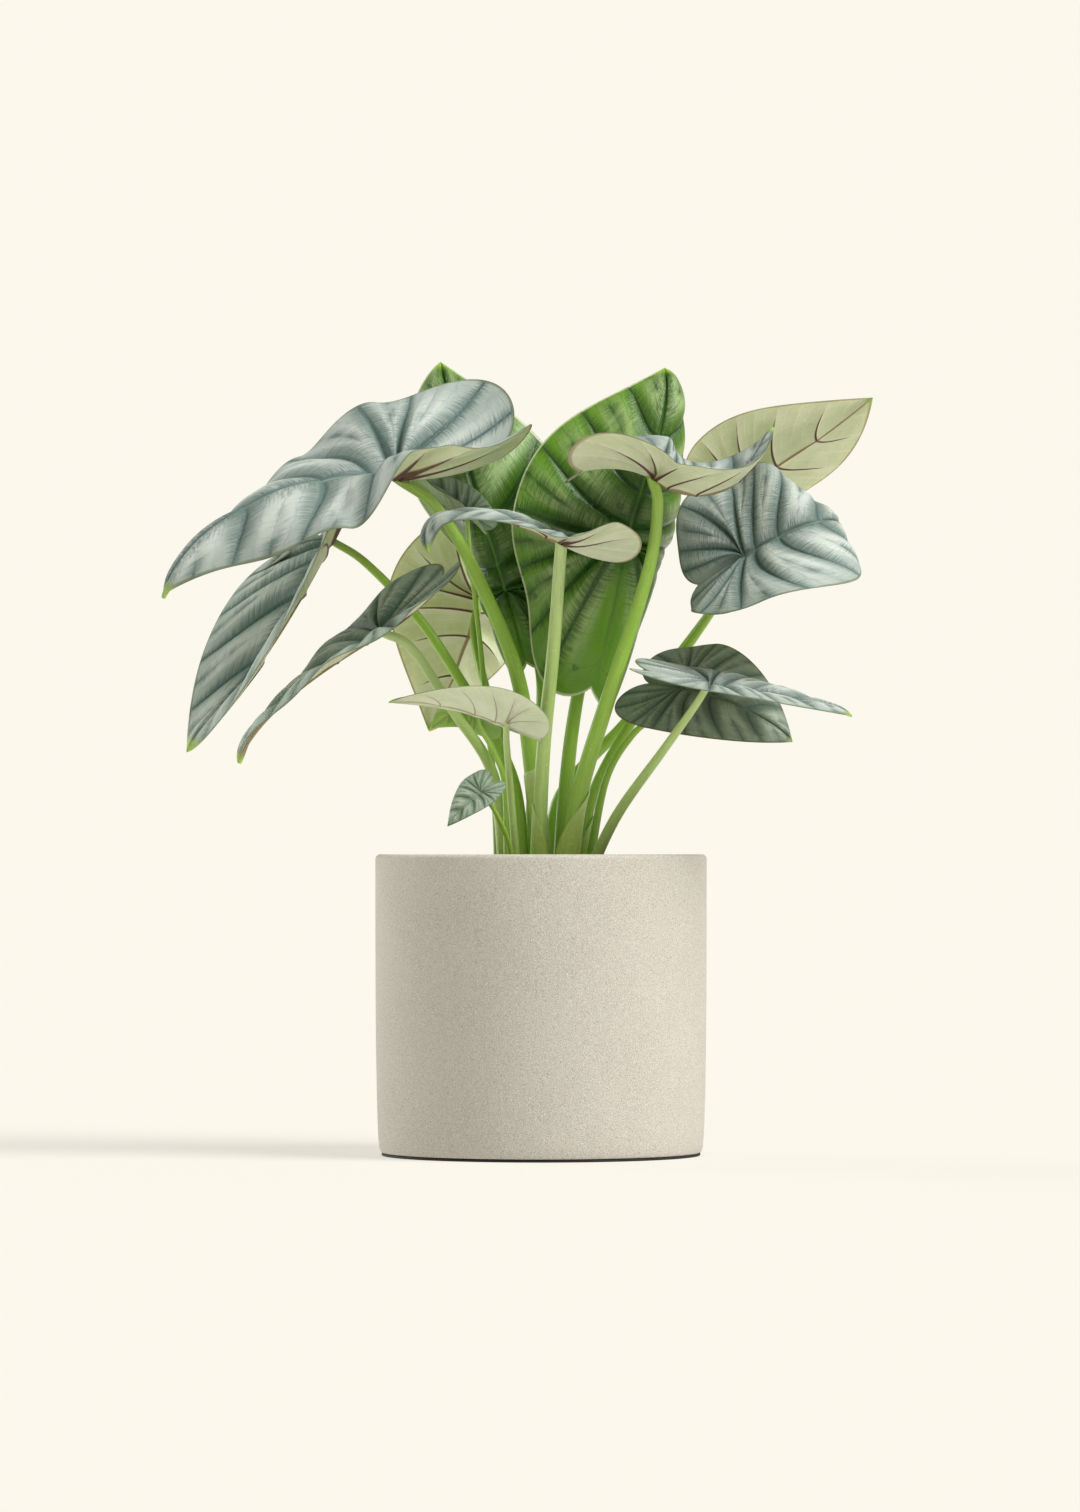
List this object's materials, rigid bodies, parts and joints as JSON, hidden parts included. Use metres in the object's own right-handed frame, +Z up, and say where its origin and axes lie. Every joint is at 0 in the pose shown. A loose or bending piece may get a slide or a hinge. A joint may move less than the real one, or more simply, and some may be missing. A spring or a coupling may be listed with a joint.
{
  "type": "potted plant",
  "caption": "Potted silver dragon alocasia: silvery, dark-veined arrow leaves on green stalks in a round beige stoneware pot.",
  "frame": {"origin": "on the floor under the middle of the pot, at the base pad's lower face", "axes": "+Z up; -Y is the front, the side that the plant shows in the picture; +X to its right"},
  "size_m": [0.3533, 0.1968, 0.4003],
  "materials": {
    "stoneware": "matte sandy-speckled beige stoneware",
    "base_rubber": "matte black base pad",
    "potting_soil": "dark brown crumbly potting mix, damp",
    "silver_leaf": "silvery quilted leaf with dark slate-green vein bands, satin; pale green underside",
    "green_leaf": "saturated green leaf with dark vein bands, satin to glossy",
    "leaf_stalk": "smooth yellow-green stalk, satin"
  },
  "bodies": {
    "root": {"pot": "stoneware", "base_pad": "base_rubber", "soil": "potting_soil", "blade_upper_left": "silver_leaf", "stalk_upper_left": "leaf_stalk", "blade_hanging_left": "silver_leaf", "stalk_hanging_left": "leaf_stalk", "blade_slanting_left": "silver_leaf", "stalk_slanting_left": "leaf_stalk", "blade_middle": "silver_leaf", "stalk_middle": "leaf_stalk", "blade_upper_right": "silver_leaf", "stalk_upper_right": "leaf_stalk", "blade_far_right": "silver_leaf", "stalk_far_right": "leaf_stalk", "blade_broad_right": "silver_leaf", "stalk_broad_right": "leaf_stalk", "blade_low_right": "silver_leaf", "stalk_low_right": "leaf_stalk", "blade_shaded_right": "silver_leaf", "stalk_shaded_right": "leaf_stalk", "blade_back_left": "silver_leaf", "stalk_back_left": "leaf_stalk", "blade_low_left": "silver_leaf", "stalk_low_left": "leaf_stalk", "blade_low_green": "green_leaf", "stalk_low_green": "leaf_stalk", "blade_baby": "silver_leaf", "stalk_baby": "leaf_stalk", "blade_green_left": "green_leaf", "stalk_green_left": "leaf_stalk", "blade_green_right": "green_leaf", "stalk_green_right": "leaf_stalk", "blade_folded_young": "silver_leaf", "stalk_folded_young": "leaf_stalk"}
  },
  "joints": []
}
